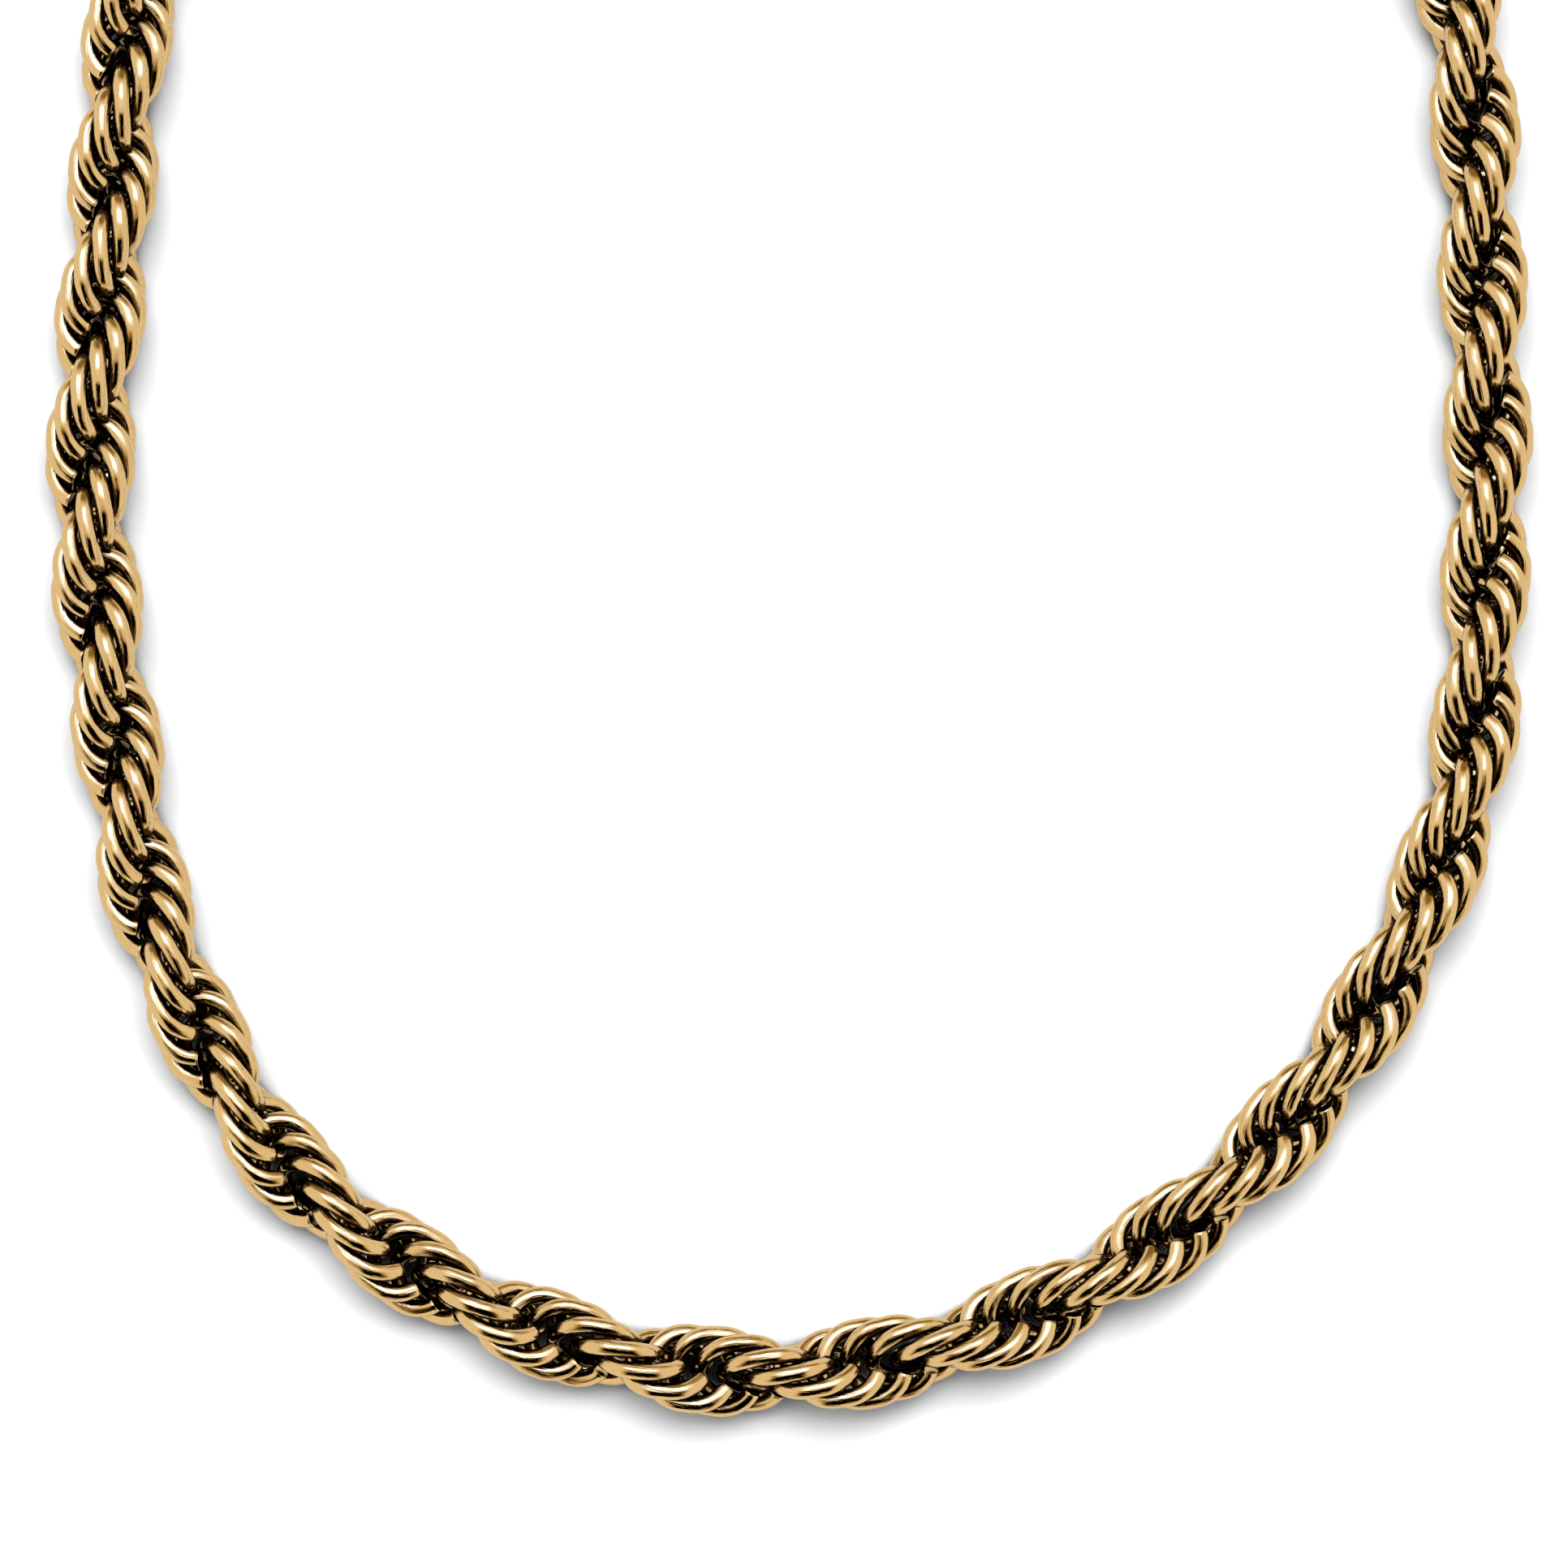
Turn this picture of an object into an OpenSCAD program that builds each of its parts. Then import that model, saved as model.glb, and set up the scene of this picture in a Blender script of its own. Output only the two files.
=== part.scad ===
// Rope chain necklace: thick open wire links hooked through each other, each turned a little
// further than the last, so that their edges wind like a rope. It lies flat, closed by a barrel clasp.
// Frame: +X across the loop, +Y towards the clasp, +Z up from the surface it lies on.
// The origin is at the surface, under the middle of the whole loop.

/* [Rope] */
// Diameter of the link wire
wire_d = 1.65; // [1.4:0.05:1.7]
// Links in half a turn of the rope
half_turn_links = 6.52; // [6.4:0.02:6.56]

/* [Link] */
// Outer width of a link across the rope
link_w = 8.55; // [8.5:0.05:8.7]
// Length of the straight flanks, which make the link slightly oval
flank = 0.95; // [0.7:0.05:1.1]
// Angle of the gap between the cut ends
gap_angle = 50; // [46:1:60]
// Angle by which each half of a link leans away from the other towards the gap
splay = 6.5; // [6:0.5:8]
// Diameter of the solder bead between two links
solder_d = 0.7; // [0.7:0.05:0.9]

/* [Clasp] */
// Outer diameter of the barrel
barrel_d = 10.4; // [10.3:0.1:11.2]
// Length of the barrel
barrel_l = 18; // [16:1:24]
// Bore of the cups that hold the rope's ends
cup_d = 9.2; // [9.1:0.05:9.3]
// Depth of the cups
cup_depth = 3.5; // [3:0.5:4]
// Rounding of the barrel's rims
rim_round = 0.4; // [0.2:0.05:0.45]
// Width and depth of the line round the middle
seam = 0.5; // [0.3:0.1:0.8]

/* [Hidden] */

link_count = 225;
stretch_links = 9;
link_r = (link_w - wire_d) / 2;
closed_end = link_r + flank / 2;
link_reach = closed_end + wire_d / 2;
// The splayed flanks stand furthest from the thread line
rope_d = 2 * norm([link_r, (link_r + flank) * sin(splay)]) + wire_d;
turn_step = 180 / half_turn_links;
// Turn of the first link about the thread line
first_turn = 9.6;
seat_gap = 0.3;
// The barrel is straight, so it sits this far inside the top of the curved thread
barrel_inset = 0.4;
first_link_at = barrel_l / 2 - cup_depth + seat_gap + link_reach;
// The solder bead's middle: along the thread, out from it and towards the next link
solder_at = [-0.2, 3.05, 0.39];
gold = [0.87, 0.68, 0.33];

// Thread line of the necklace, seen from above and counterclockwise from the clasp
ROUTE = [[0.1, 91.1], [-13.9, 90.2], [-27.9, 85.3], [-42.9, 74.7], [-55.3, 57.5], [-61.5, 37],
         [-64, 14.1], [-65.6, -8.9], [-63.2, -31.6], [-58.6, -52.2], [-47.1, -72.4], [-28, -86],
         [-5.4, -91.8], [17.7, -88.3], [38.1, -76.9], [53.5, -59.4], [63, -38.1], [65.4, -14.8],
         [65.1, 9.1], [63.3, 34.1], [57.1, 57.3], [44.1, 74.7], [28.6, 85.3], [14.1, 90.2]];
span_steps = 24;

// The thread rises near the clasp, because the barrel is thicker than the rope
rise_start = 12;
rise_end = 44;
rise = (barrel_d - rope_d) / 2;

function route_point(i) = ROUTE[(i + len(ROUTE)) % len(ROUTE)];

// Smooth closed curve through the route's points
function curve(i, t) =
  let (a = route_point(i - 1), b = route_point(i), c = route_point(i + 1), d = route_point(i + 2))
  0.5 * (2 * b + (c - a) * t + (2 * a - 5 * b + 4 * c - d) * t * t
         + (3 * b - a - 3 * c + d) * t * t * t);

path = [for (i = [0:len(ROUTE) - 1]) for (j = [0:span_steps - 1]) curve(i, j / span_steps),
        ROUTE[0]];
path_distance = [for (s = 0, i = 0; i < len(path);
                      s = s + norm(path[min(i + 1, len(path) - 1)] - path[i]), i = i + 1) s];
thread_length = path_distance[len(path) - 1];
x_table = [for (i = [0:len(path) - 1]) [path_distance[i], path[i].x]];
y_table = [for (i = [0:len(path) - 1]) [path_distance[i], path[i].y]];

// Half turns of the rope counted from its first link, and the thread distance where each is reached
HALF_TURNS = 0;
DISTANCE = 1;
LAY = [[0, first_link_at],
       [6.49, 101],
       [8.74, 129.6],
       [10.95, 159.6],
       [13.07, 189.8],
       [15.1, 220],
       [17.09, 250.2],
       [19.07, 280.4],
       [21.09, 310.7],
       [23.18, 340.6],
       [26.49, 386.5],
       [(link_count - 1) / half_turn_links, thread_length - first_link_at]];

// Distance along the thread at which link k sits
lay_table = [for (row = LAY) [row[HALF_TURNS] * half_turn_links, row[DISTANCE]]];
function link_distance(k) = lookup(k, lay_table);

function thread_xy(s) = [lookup(s, x_table), lookup(s, y_table)];
function heading(s) = let (reach = 1.5, d = thread_xy(s + reach) - thread_xy(s - reach)) atan2(d.y, d.x);
function smooth(t) = let (u = min(1, max(0, t))) u * u * (3 - 2 * u);
function thread_z(s) =
  let (from_clasp = min(s, thread_length - s))
  rope_d / 2 + rise * smooth((rise_end - from_clasp) / (rise_end - rise_start));

module wire_arc(from, to) {
  rotate([0, 0, from])
    rotate_extrude(angle = to - from, $fn = 64)
      translate([link_r, 0]) circle(d = wire_d, $fn = 24);
}

// One half of a link in the XY plane, from its closed end at -X round to its cut end
module half_link() {
  translate([-flank / 2, 0, 0]) wire_arc(90, 180);
  translate([-flank / 2, link_r, 0]) rotate([0, 90, 0]) cylinder(d = wire_d, h = flank, $fn = 24);
  translate([flank / 2, 0, 0]) mirror([0, 1, 0]) wire_arc(-90, -gap_angle / 2);
}

// Open oval link, its gap towards +X, with halves that splay apart from the closed end
module link() {
  for (half = [0, 180])
    rotate([half, 0, 0])
      translate([-closed_end, 0, 0]) rotate([0, splay, 0]) translate([closed_end, 0, 0]) half_link();
}

// Puts its children on the thread at link k, turned with the rope
module at_link(k) {
  s = link_distance(k);
  translate([each thread_xy(s), thread_z(s)])
    rotate([0, 0, heading(s)])
      rotate([first_turn + k * turn_step, 0, 0])
        children();
}

// One soldered stretch of the rope
module rope(stretch) {
  first = (stretch - 1) * stretch_links;
  last = min(first + stretch_links, link_count) - 1;
  color(gold) {
    for (k = [first:last])
      at_link(k) link();
    for (k = [first:last - 1])
      at_link(k) translate(solder_at) sphere(d = solder_d, $fn = 24);
  }
}

// Plain barrel with a cup at each end for the rope
module clasp() {
  color(gold)
    translate([ROUTE[0].x, ROUTE[0].y - barrel_inset, barrel_d / 2])
      rotate([0, 90, 0])
        rotate_extrude($fn = 96)
          difference() {
            union() {
              translate([0, rim_round - barrel_l / 2]) square([barrel_d / 2, barrel_l - 2 * rim_round]);
              translate([0, -barrel_l / 2]) square([barrel_d / 2 - rim_round, barrel_l]);
              for (end = [-1, 1])
                translate([barrel_d / 2 - rim_round, end * (barrel_l / 2 - rim_round)])
                  circle(r = rim_round, $fn = 24);
            }
            for (end = [-1, 1])
              translate([0, end * (barrel_l / 2 - cup_depth / 2)])
                square([cup_d, cup_depth + 0.002], center = true);
            translate([barrel_d / 2, 0]) square([seam, seam], center = true);
          }
}

clasp();
rope(1);  // rope_01
rope(2);  // rope_02
rope(3);  // rope_03
rope(4);  // rope_04
rope(5);  // rope_05
rope(6);  // rope_06
rope(7);  // rope_07
rope(8);  // rope_08
rope(9);  // rope_09
rope(10);  // rope_10
rope(11);  // rope_11
rope(12);  // rope_12
rope(13);  // rope_13
rope(14);  // rope_14
rope(15);  // rope_15
rope(16);  // rope_16
rope(17);  // rope_17
rope(18);  // rope_18
rope(19);  // rope_19
rope(20);  // rope_20
rope(21);  // rope_21
rope(22);  // rope_22
rope(23);  // rope_23
rope(24);  // rope_24
rope(25);  // rope_25
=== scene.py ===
import math

import bpy
import numpy as np
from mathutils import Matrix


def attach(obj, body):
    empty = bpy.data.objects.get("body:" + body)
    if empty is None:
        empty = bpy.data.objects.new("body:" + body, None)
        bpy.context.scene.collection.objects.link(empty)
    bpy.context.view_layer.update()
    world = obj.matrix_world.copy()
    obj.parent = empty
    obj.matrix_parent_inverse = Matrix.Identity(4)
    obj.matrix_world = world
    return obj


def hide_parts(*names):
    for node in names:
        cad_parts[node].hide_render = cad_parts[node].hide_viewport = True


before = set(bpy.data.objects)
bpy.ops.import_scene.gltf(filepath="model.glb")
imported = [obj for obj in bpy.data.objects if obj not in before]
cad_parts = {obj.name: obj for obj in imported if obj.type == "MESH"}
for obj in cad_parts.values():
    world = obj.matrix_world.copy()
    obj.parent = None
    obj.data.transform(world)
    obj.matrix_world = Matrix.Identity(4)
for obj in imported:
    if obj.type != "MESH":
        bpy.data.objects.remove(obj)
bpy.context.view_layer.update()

MM = 0.001

# Rope, link and barrel in millimetres
WIRE_D = 1.65
HALF_TURN_LINKS = 6.52
LINK_W = 8.55
FLANK = 0.95
GAP_ANGLE = 50
SPLAY = 6.5
LINK_COUNT = 225
STRETCH_LINKS = 9
BARREL_D = 10.4
BARREL_L = 18
CUP_DEPTH = 3.5
SEAT_GAP = 0.3
FIRST_TURN = 9.6

LINK_R = (LINK_W - WIRE_D) / 2
CLOSED_END = LINK_R + FLANK / 2
LINK_REACH = CLOSED_END + WIRE_D / 2
ROPE_D = 2 * math.hypot(LINK_R, (LINK_R + FLANK) * math.sin(math.radians(SPLAY))) + WIRE_D
TURN_STEP = 180 / HALF_TURN_LINKS
FIRST_LINK_AT = BARREL_L / 2 - CUP_DEPTH + SEAT_GAP + LINK_REACH
RISE_START = 12
RISE_END = 44
RISE = (BARREL_D - ROPE_D) / 2

# Thread line of the loop, seen from above and counterclockwise from the clasp
ROUTE = np.array([
    [0.1, 91.1], [-13.9, 90.2], [-27.9, 85.3], [-42.9, 74.7], [-55.3, 57.5], [-61.5, 37],
    [-64, 14.1], [-65.6, -8.9], [-63.2, -31.6], [-58.6, -52.2], [-47.1, -72.4], [-28, -86],
    [-5.4, -91.8], [17.7, -88.3], [38.1, -76.9], [53.5, -59.4], [63, -38.1], [65.4, -14.8],
    [65.1, 9.1], [63.3, 34.1], [57.1, 57.3], [44.1, 74.7], [28.6, 85.3], [14.1, 90.2]])
SPAN_STEPS = 24
# The rope's heading is taken between two places this far before and after a link
HEADING_REACH = 1.5


def closed_curve(points, steps):
    """Smooth closed curve through the points, with its first point again at the end."""
    t = (np.arange(steps) / steps)[:, None]
    spans = []
    for i in range(len(points)):
        a, b, c, d = (points[(i + j) % len(points)] for j in (-1, 0, 1, 2))
        spans.append(0.5 * (2 * b + (c - a) * t + (2 * a - 5 * b + 4 * c - d) * t * t
                            + (3 * b - a - 3 * c + d) * t ** 3))
    return np.vstack(spans + [points[:1]])


def distances(points):
    """Distance along a line of points, from its first one."""
    return np.concatenate([[0], np.cumsum(np.linalg.norm(np.diff(points, axis=0), axis=1))])


THREAD = closed_curve(ROUTE, SPAN_STEPS)
THREAD_AT = distances(THREAD)
THREAD_LENGTH = THREAD_AT[-1]

# Half turns of the rope from its first link, and the thread distance where each is reached
LAY = np.array([
    [0, FIRST_LINK_AT], [6.49, 101], [8.74, 129.6], [10.95, 159.6], [13.07, 189.8], [15.1, 220],
    [17.09, 250.2], [19.07, 280.4], [21.09, 310.7], [23.18, 340.6], [26.49, 386.5],
    [(LINK_COUNT - 1) / HALF_TURN_LINKS, THREAD_LENGTH - FIRST_LINK_AT]])


def thread_xy(s):
    return np.array([np.interp(s, THREAD_AT, THREAD[:, 0]), np.interp(s, THREAD_AT, THREAD[:, 1])])


def heading(s):
    dx, dy = thread_xy(s + HEADING_REACH) - thread_xy(s - HEADING_REACH)
    return math.atan2(dy, dx)


def thread_z(s):
    """Height of the thread: the rope rises to the barrel, which is thicker."""
    t = min(1, max(0, (RISE_END - min(s, THREAD_LENGTH - s)) / (RISE_END - RISE_START)))
    return ROPE_D / 2 + RISE * t * t * (3 - 2 * t)


def turn_x(angle):
    c, s = math.cos(angle), math.sin(angle)
    return np.array([[1, 0, 0], [0, c, -s], [0, s, c]])


def turn_y(angle):
    c, s = math.cos(angle), math.sin(angle)
    return np.array([[c, 0, s], [0, 1, 0], [-s, 0, c]])


def turn_z(angle):
    c, s = math.cos(angle), math.sin(angle)
    return np.array([[c, -s, 0], [s, c, 0], [0, 0, 1]])


# Bent link wire
ARC_STEP = 5
WIRE_SIDES = 24
CUT_BEVEL = 0.05
# The wire is drawn a hair thinner than the CAD wire, to stay inside it
WIRE_R = WIRE_D / 2 - 0.003
# Each link starts this much further along in the pattern of streaks
STREAK_SHIFT = 0.37


def link_line():
    """Centre line of one open link and its directions, from cut end to cut end."""
    cut = GAP_ANGLE / 2
    to_side = np.linspace(cut, 90, round((90 - cut) / ARC_STEP) + 1)
    to_closed_end = np.linspace(90, 180, round(90 / ARC_STEP) + 1)
    splay = turn_y(math.radians(SPLAY))
    closed = np.array([CLOSED_END, 0, 0])
    points, ways = [], []
    for angles, shift in ((to_side, FLANK / 2), (to_closed_end, -FLANK / 2)):
        for t in np.radians(angles):
            at = np.array([LINK_R * math.cos(t) + shift, LINK_R * math.sin(t), 0])
            points.append(splay @ (at + closed) - closed)
            ways.append(splay @ np.array([-math.sin(t), math.cos(t), 0]))
    # The other half is the same, turned half a turn round the thread line
    half = np.array([1, -1, -1])
    points += [p * half for p in reversed(points[:-1])]
    ways += [-w * half for w in reversed(ways[:-1])]
    return np.array(points), np.array(ways)


def link_mesh():
    """Corners, faces and wire coordinates of one link, and how many rings of corners it has."""
    points, ways = link_line()
    run = distances(points)
    # Each cut end has a small bevel
    points = np.vstack([points[:1], points[:1] + ways[:1] * CUT_BEVEL, points[1:-1],
                        points[-1:] - ways[-1:] * CUT_BEVEL, points[-1:]])
    ways = np.vstack([ways[:1], ways, ways[-1:]])
    run = np.concatenate([[0, CUT_BEVEL], run[1:-1], [run[-1] - CUT_BEVEL, run[-1]]])
    rings = len(points)
    radii = np.full(rings, WIRE_R)
    radii[[0, -1]] = WIRE_R - CUT_BEVEL
    corners = []
    for p, w, r in zip(points, ways, radii):
        side = np.cross([0, 0, 1.0], w)
        side /= np.linalg.norm(side)
        up = np.cross(w, side)
        for j in range(WIRE_SIDES):
            a = 2 * math.pi * j / WIRE_SIDES
            corners.append(p + r * (math.cos(a) * side + math.sin(a) * up))
    faces, uvs = [], []
    for i in range(rings - 1):
        here, there = i * WIRE_SIDES, (i + 1) * WIRE_SIDES
        for j in range(WIRE_SIDES):
            k = (j + 1) % WIRE_SIDES
            faces.append([here + j, here + k, there + k, there + j])
            v0, v1 = j / WIRE_SIDES, (j + 1) / WIRE_SIDES
            uvs.append([(run[i], v0), (run[i], v1), (run[i + 1], v1), (run[i + 1], v0)])
    return np.array(corners), np.array(faces), np.array(uvs), rings


def rope_mesh(name, first, last):
    """One stretch of rope as a single mesh."""
    corners, faces, uvs, rings = link_mesh()
    rope_corners, rope_faces, cut_faces, rope_uvs = [], [], [], []
    for k in range(first, last + 1):
        s = np.interp(k, LAY[:, 0] * HALF_TURN_LINKS, LAY[:, 1])
        turn = turn_z(heading(s)) @ turn_x(math.radians(FIRST_TURN + k * TURN_STEP))
        place = np.array([*thread_xy(s), thread_z(s)])
        base = (k - first) * len(corners)
        far_end = base + (rings - 1) * WIRE_SIDES
        rope_corners.append((corners @ turn.T + place) * MM)
        rope_faces.append(faces + base)
        cut_faces.append([base + j for j in range(WIRE_SIDES)])
        cut_faces.append([far_end + j for j in reversed(range(WIRE_SIDES))])
        rope_uvs.append(uvs + [k * STREAK_SHIFT % 1, 0])
    mesh = bpy.data.meshes.new(name)
    mesh.from_pydata(np.vstack(rope_corners).tolist(), [], np.vstack(rope_faces).tolist() + cut_faces)
    mesh.update()
    mesh.shade_smooth()
    # Cut faces stay crisp
    for poly in mesh.polygons:
        if len(poly.vertices) == WIRE_SIDES:
            poly.use_smooth = False
    wire_uvs = np.vstack(rope_uvs).reshape(-1, 2)
    all_uvs = np.zeros((len(mesh.loops), 2))
    all_uvs[:len(wire_uvs)] = wire_uvs
    mesh.uv_layers.new(name="wire").data.foreach_set("uv", all_uvs.ravel())
    obj = bpy.data.objects.new(name, mesh)
    bpy.context.scene.collection.objects.link(obj)
    return obj


def shader_group(name, inputs, outputs):
    """Empty shader node group with named sockets."""
    tree = bpy.data.node_groups.new(name, "ShaderNodeTree")
    for label, kind, value in inputs:
        tree.interface.new_socket(label, in_out="INPUT", socket_type=kind).default_value = value
    for label, kind in outputs:
        tree.interface.new_socket(label, in_out="OUTPUT", socket_type=kind)
    return tree, tree.nodes.new("NodeGroupInput"), tree.nodes.new("NodeGroupOutput")


def math_node(tree, kind, a, b=None):
    """Result of a sum, whose terms are numbers or other nodes' outputs."""
    node = tree.nodes.new("ShaderNodeMath")
    node.operation = kind
    for socket, value in zip(node.inputs, (a, b)):
        if isinstance(value, (int, float)):
            socket.default_value = value
        elif value is not None:
            tree.links.new(value, socket)
    return node.outputs["Value"]


def mix_colour(tree, factor, a, b):
    """Colour between two others, which are plain colours or other nodes' outputs."""
    node = tree.nodes.new("ShaderNodeMix")
    node.data_type = "RGBA"
    tree.links.new(factor, node.inputs["Factor"])
    for label, value in (("A", a), ("B", b)):
        if isinstance(value, tuple):
            node.inputs[label].default_value = (*value, 1)
        else:
            tree.links.new(value, node.inputs[label])
    return node.outputs["Result"]


def colour_ramp(tree, source, marks, interpolation="LINEAR"):
    """Colour that follows a value, given as (value, colour) marks."""
    ramp = tree.nodes.new("ShaderNodeValToRGB")
    ramp.color_ramp.interpolation = interpolation
    elements = ramp.color_ramp.elements
    while len(elements) < len(marks):
        elements.new(0.5)
    for element, (at, colour) in zip(elements, marks):
        element.position = at
        element.color = (*colour, 1)
    tree.links.new(source, ramp.inputs["Fac"])
    return ramp.outputs["Color"]


# The clouds hardly leave this range
CLOUD_LOW = 0.35
CLOUD_HIGH = 0.65


def plating_tone():
    """Slight cloudiness of a gold plating, in its colour and its polish."""
    tree, given, result = shader_group(
        "Plating tone",
        [("Pale", "NodeSocketColor", (0.75, 0.50, 0.21, 1)),
         ("Deep", "NodeSocketColor", (0.72, 0.47, 0.19, 1)),
         ("Cloud size", "NodeSocketFloat", 400.0),
         ("Finest polish", "NodeSocketFloat", 0.05),
         ("Dullest polish", "NodeSocketFloat", 0.085)],
        [("Color", "NodeSocketColor"), ("Roughness", "NodeSocketFloat")])
    n, link = tree.nodes, tree.links
    place = n.new("ShaderNodeTexCoord")
    cloud = n.new("ShaderNodeTexNoise")
    cloud.inputs["Detail"].default_value = 3
    link.new(place.outputs["Object"], cloud.inputs["Vector"])
    link.new(given.outputs["Cloud size"], cloud.inputs["Scale"])
    clouds = cloud.outputs["Fac"]
    link.new(mix_colour(tree, clouds, given.outputs["Pale"], given.outputs["Deep"]), result.inputs["Color"])
    polish = n.new("ShaderNodeMapRange")
    polish.inputs["From Min"].default_value = CLOUD_LOW
    polish.inputs["From Max"].default_value = CLOUD_HIGH
    link.new(clouds, polish.inputs["Value"])
    link.new(given.outputs["Finest polish"], polish.inputs["To Min"])
    link.new(given.outputs["Dullest polish"], polish.inputs["To Max"])
    link.new(polish.outputs["Result"], result.inputs["Roughness"])
    return tree


def drawn_wire():
    """Faint streaks along the wire, left by drawing and polishing it."""
    tree, given, result = shader_group(
        "Drawn wire",
        [("Length", "NodeSocketFloat", 0.35), ("Fineness", "NodeSocketFloat", 2.2)],
        [("Streak", "NodeSocketFloat")])
    n, link = tree.nodes, tree.links
    wire = n.new("ShaderNodeUVMap")
    wire.uv_map = "wire"
    split = n.new("ShaderNodeSeparateXYZ")
    link.new(wire.outputs["UV"], split.inputs["Vector"])
    place = n.new("ShaderNodeCombineXYZ")
    link.new(math_node(tree, "MULTIPLY", split.outputs["X"], given.outputs["Length"]), place.inputs["X"])
    # Round the wire the pattern closes on itself
    round_wire = math_node(tree, "MULTIPLY", split.outputs["Y"], 2 * math.pi)
    for kind, axis in (("COSINE", "Y"), ("SINE", "Z")):
        across = math_node(tree, "MULTIPLY", math_node(tree, kind, round_wire), given.outputs["Fineness"])
        link.new(across, place.inputs[axis])
    streak = n.new("ShaderNodeTexNoise")
    streak.inputs["Scale"].default_value = 1.0
    streak.inputs["Detail"].default_value = 4
    link.new(place.outputs["Vector"], streak.inputs["Vector"])
    link.new(streak.outputs["Fac"], result.inputs["Streak"])
    return tree


# Painted shade: gold seen in another surface's reflection or in bounced light is coloured almost black,
# standing in for the shade in the recesses of the rope
PAINTED_RECESS_SHADE = (0.045, 0.022, 0.005)
STREAK_DEPTH = 0.1 * MM
STREAK_STRENGTH = 0.85


def gold(name, tone, streaks=None):
    """Polished gold plating, with faint streaks where a group for them is given."""
    mat = bpy.data.materials.new(name)
    mat.use_nodes = True
    tree = mat.node_tree
    n, link = tree.nodes, tree.links
    shader = n["Principled BSDF"]
    shader.inputs["Metallic"].default_value = 1.0
    plating = n.new("ShaderNodeGroup")
    plating.node_tree = tone
    link.new(plating.outputs["Roughness"], shader.inputs["Roughness"])
    # Painted shade: for glossy and diffuse rays the base colour becomes the almost black recess shade
    path = n.new("ShaderNodeLightPath")
    bounce = math_node(tree, "MAXIMUM", path.outputs["Is Glossy Ray"], path.outputs["Is Diffuse Ray"])
    link.new(mix_colour(tree, bounce, plating.outputs["Color"], PAINTED_RECESS_SHADE), shader.inputs["Base Color"])
    if streaks:
        drawn = n.new("ShaderNodeGroup")
        drawn.node_tree = streaks
        bump = n.new("ShaderNodeBump")
        bump.inputs["Strength"].default_value = STREAK_STRENGTH
        bump.inputs["Distance"].default_value = STREAK_DEPTH
        link.new(drawn.outputs["Streak"], bump.inputs["Height"])
        link.new(bump.outputs["Normal"], shader.inputs["Normal"])
    return mat


# Rope and clasp
tone = plating_tone()
rope_gold = gold("Polished rope gold", tone, drawn_wire())
clasp_gold = gold("Polished clasp gold", tone)

for stretch in range(LINK_COUNT // STRETCH_LINKS):
    first = stretch * STRETCH_LINKS
    last = first + STRETCH_LINKS - 1
    node = "rope_%02d" % (stretch + 1)
    piece = rope_mesh(node + "_links", first, last)
    piece.data.materials.append(rope_gold)
    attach(piece, "root")
    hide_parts(node)

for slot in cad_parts["clasp"].material_slots:
    slot.material = clasp_gold

# Table under the rope, in metres
TABLE_HALF = 2
PAPER_ROUGHNESS = 0.9
PAPER_WHITE = (0.95, 0.95, 0.95)
# The paper is overexposed, but in the gold's reflections it is painted a plain light grey: a painted
# reflection
PAINTED_PAPER_REFLECTION = (0.7, 0.7, 0.7)
# Painted shade: hardly any light gets down to the paper through the rope, so there its colour is made nearly
# black
PAINTED_SHADE_UNDER_ROPE = (0.004, 0.004, 0.004)
CROWDING_REACH = 12 * MM
# Share of open sky at which the paper is dark, and at which it is white
SKY_DARK = 0.34
SKY_WHITE = 0.46


def white_paper():
    """Paper of the table, with shade painted into its colour where the rope crowds out the light."""
    mat = bpy.data.materials.new("White paper sweep")
    mat.use_nodes = True
    tree = mat.node_tree
    n, link = tree.nodes, tree.links
    shader = n["Principled BSDF"]
    shader.inputs["Roughness"].default_value = PAPER_ROUGHNESS
    shader.inputs["Specular IOR Level"].default_value = 0.0
    path = n.new("ShaderNodeLightPath")
    crowding = n.new("ShaderNodeAmbientOcclusion")
    crowding.inputs["Distance"].default_value = CROWDING_REACH
    open_sky = n.new("ShaderNodeMapRange")
    open_sky.inputs["From Min"].default_value = SKY_DARK
    open_sky.inputs["From Max"].default_value = SKY_WHITE
    link.new(crowding.outputs["AO"], open_sky.inputs["Value"])
    # Painted reflection: glossy rays see the paper in a darker grey than the camera does
    white = mix_colour(tree, path.outputs["Is Glossy Ray"], PAPER_WHITE, PAINTED_PAPER_REFLECTION)
    # Painted shade: where the rope crowds out the sky, the paper's colour goes to near black
    shaded = mix_colour(tree, open_sky.outputs["Result"], PAINTED_SHADE_UNDER_ROPE, white)
    link.new(shaded, shader.inputs["Base Color"])
    return mat


floor_mesh = bpy.data.meshes.new("floor")
table_corners = [(x * TABLE_HALF, y * TABLE_HALF, 0) for x, y in ((-1, -1), (1, -1), (1, 1), (-1, 1))]
floor_mesh.from_pydata(table_corners, [], [(0, 1, 2, 3)])
floor = bpy.data.objects.new("floor", floor_mesh)
bpy.context.scene.collection.objects.link(floor)
floor.data.materials.append(white_paper())

# Parts of the light tent, each as (slope, share) steps up the picture and across it
DARK_FRONT = ([(-0.67, 0), (-0.54, 1), (-0.1, 1), (0.02, 0)], [(-0.39, 0), (-0.22, 1), (0.18, 1), (0.35, 0)])
DIM_BACK = ([(0.4, 0), (0.54, 1), (0.68, 1), (0.82, 0)], [(-0.5, 0), (-0.3, 1), (0.3, 1), (0.5, 0)])
BACK_DIMMING = 0.8
LAMP_PATCH = ([(0.02, 0), (0.13, 1), (0.29, 1), (0.42, 0)], [(-0.3, 0), (-0.1, 1), (0.1, 1), (0.3, 0)])
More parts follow.
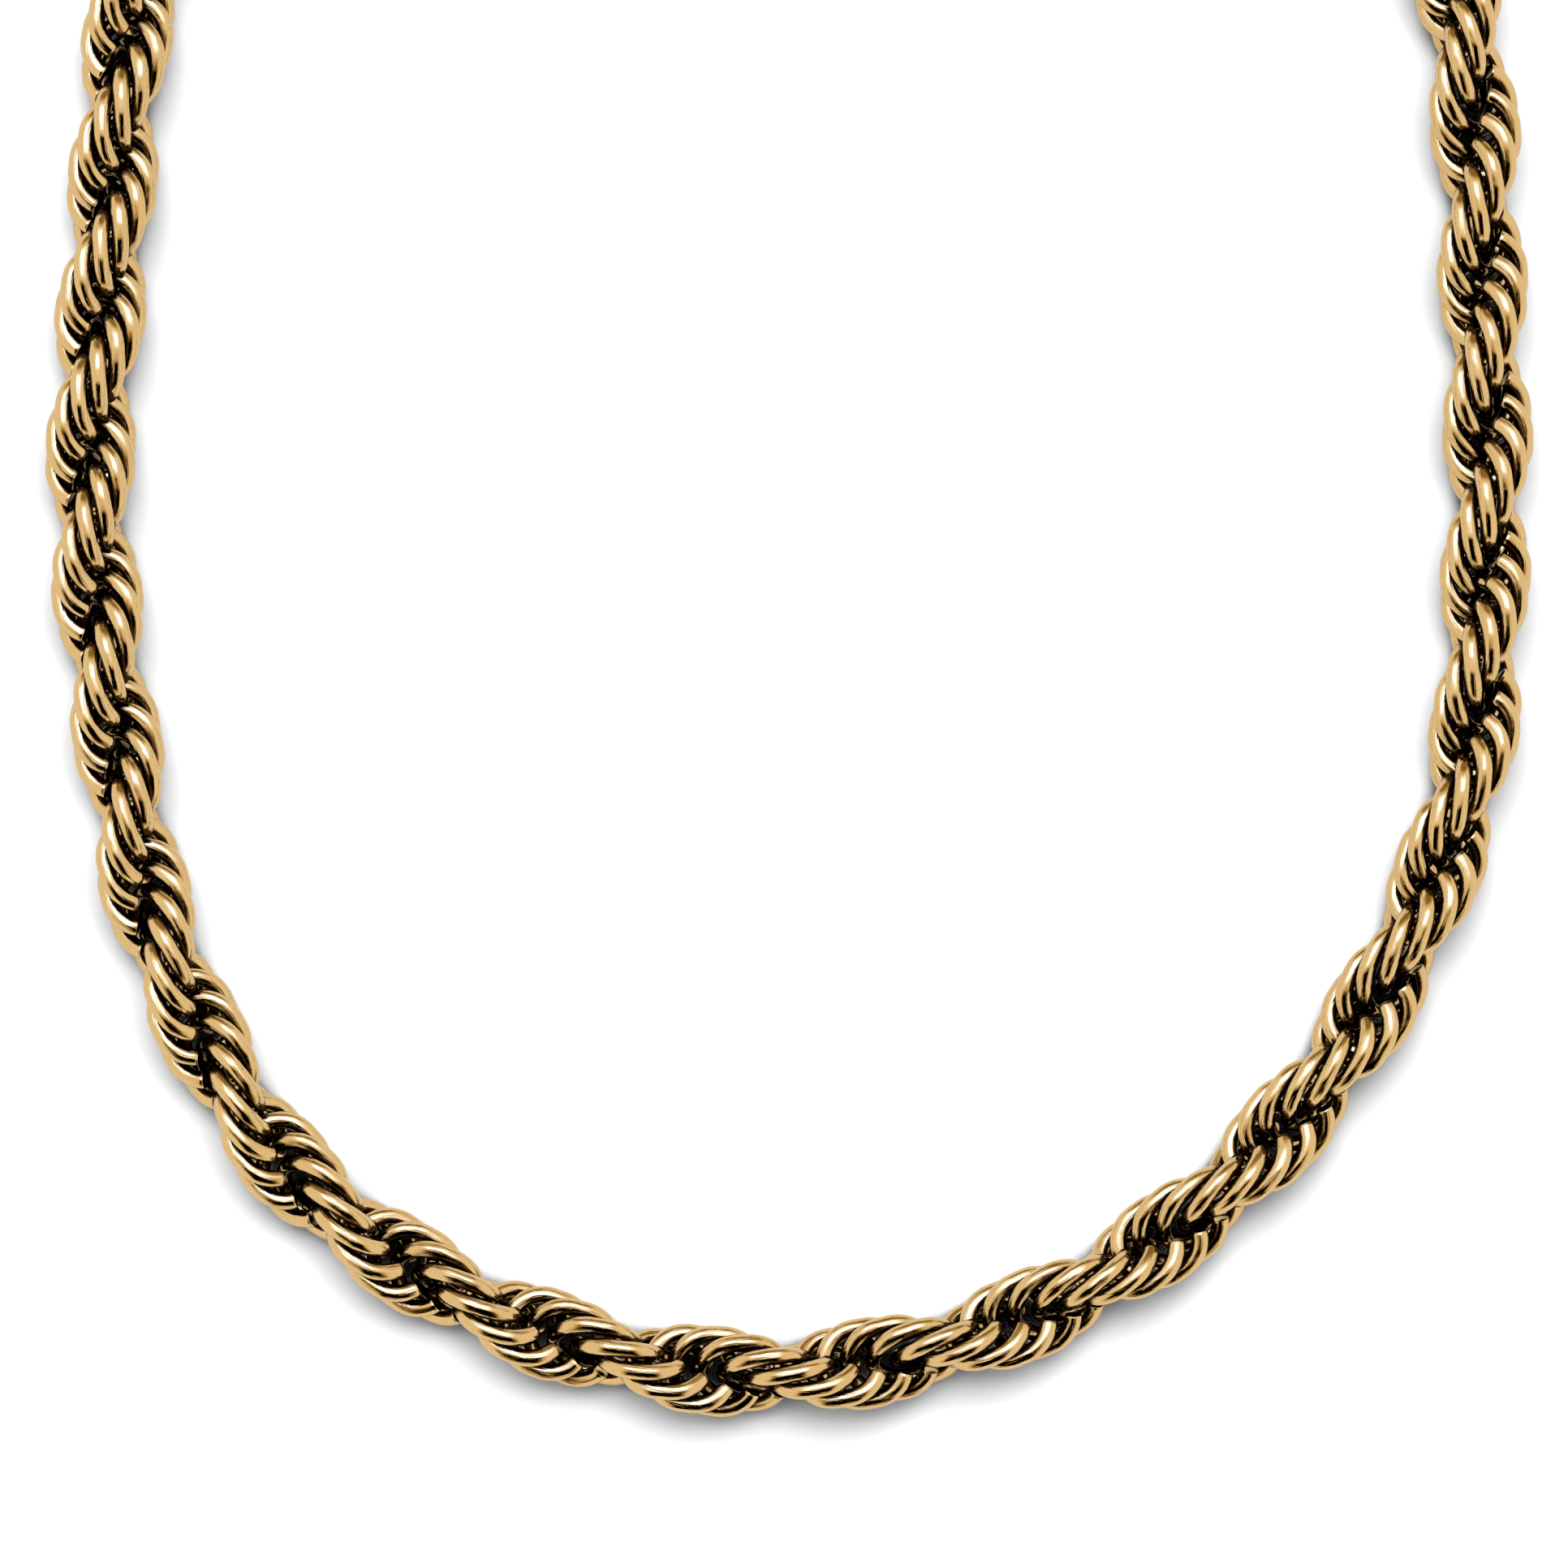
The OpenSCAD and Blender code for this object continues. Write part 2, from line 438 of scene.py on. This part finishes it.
# Light on the table is white, but the gold shows the tent with warm dim parts and a cool lamp
WHITE = (1, 1, 1)
TENT_LIT = 0.82
TENT_SEEN = [(0, (0, 0, 0)), (0.22, (0.34, 0.25, 0.11)), (0.52, (0.7, 0.61, 0.43)), (1, WHITE)]
LAMP_LIT = 7.3
LAMP_SEEN = (1.1, 1.9, 4.6)
# Just over 1, which keeps the slope finite straight below the table
BELOW_TABLE = 1.0001


def slope_share(tree, slope, steps):
    """Share along one slope, with soft edges between the steps."""
    spread = tree.nodes.new("ShaderNodeMapRange")
    spread.inputs["From Min"].default_value = -1
    spread.inputs["From Max"].default_value = 1
    tree.links.new(slope, spread.inputs["Value"])
    marks = [((at + 1) / 2, (share, share, share)) for at, share in steps]
    return colour_ramp(tree, spread.outputs["Result"], marks, "EASE")


def studio_light():
    """Light tent round the table, as polished metal shows it to a camera straight above.

    Each direction is placed by the slope of a small mirror that sends it up to the camera:
    right and up are from -1 to 1, with 0 a level mirror, which shows the light overhead.
    """
    world = bpy.data.worlds.new("studio")
    world.use_nodes = True
    tree = world.node_tree
    n, link = tree.nodes, tree.links
    way = n.new("ShaderNodeTexCoord")
    split = n.new("ShaderNodeSeparateXYZ")
    link.new(way.outputs["Generated"], split.inputs["Vector"])
    above = math_node(tree, "ADD", split.outputs["Z"], BELOW_TABLE)
    reach = math_node(tree, "SQRT", math_node(tree, "MULTIPLY", above, 2.0))
    right = math_node(tree, "DIVIDE", split.outputs["X"], reach)
    up = math_node(tree, "DIVIDE", split.outputs["Y"], reach)

    def patch(steps):
        """Share of each direction that lies in one soft-edged part of the tent."""
        up_share, right_share = (slope_share(tree, slope, s) for slope, s in zip((up, right), steps))
        return math_node(tree, "MULTIPLY", up_share, right_share)

    back = math_node(tree, "MULTIPLY", patch(DIM_BACK), BACK_DIMMING)
    tent = math_node(tree, "SUBTRACT", 1.0, patch(DARK_FRONT))
    tent = math_node(tree, "MAXIMUM", math_node(tree, "SUBTRACT", tent, back), 0.0)
    lamp = patch(LAMP_PATCH)
    shown = n.new("ShaderNodeLightPath").outputs["Is Glossy Ray"]
    hidden = math_node(tree, "SUBTRACT", 1.0, shown)

    def either(lit, seen):
        """One strength for the light on the table, another for what the gold shows."""
        return math_node(tree, "ADD", math_node(tree, "MULTIPLY", hidden, lit),
                         math_node(tree, "MULTIPLY", shown, seen))

    tent_light = n["Background"]
    tent_look = colour_ramp(tree, tent, TENT_SEEN)
    tent_strength = either(math_node(tree, "MULTIPLY", tent, TENT_LIT), 1.0)
    lamp_light = n.new("ShaderNodeBackground")
    lamp_strength = math_node(tree, "MULTIPLY", lamp, either(LAMP_LIT, 1.0))
    for light, look, strength in ((tent_light, tent_look, tent_strength),
                                  (lamp_light, LAMP_SEEN, lamp_strength)):
        link.new(mix_colour(tree, shown, WHITE, look), light.inputs["Color"])
        link.new(strength, light.inputs["Strength"])
    both = n.new("ShaderNodeAddShader")
    link.new(tent_light.outputs["Background"], both.inputs[0])
    link.new(lamp_light.outputs["Background"], both.inputs[1])
    link.new(both.outputs["Shader"], n["World Output"].inputs["Surface"])
    bpy.context.scene.world = world


studio_light()

# Camera straight above the front of the loop, in metres, with its sensor in millimetres
TARGET = (-0.00051, -0.0366)
FRAME_W = 0.1472
CAMERA_H = 0.9
ROPE_MIDDLE_H = 0.004
SENSOR_W = 36
VIEW_REACH = 20

cam = bpy.data.cameras.new("camera")
cam.sensor_width = SENSOR_W
cam.lens = SENSOR_W * (CAMERA_H - ROPE_MIDDLE_H) / FRAME_W
cam.clip_end = VIEW_REACH
camera = bpy.data.objects.new("camera", cam)
camera.location = (*TARGET, CAMERA_H)
bpy.context.scene.collection.objects.link(camera)
bpy.context.scene.camera = camera
bpy.context.scene.view_settings.view_transform = "Standard"
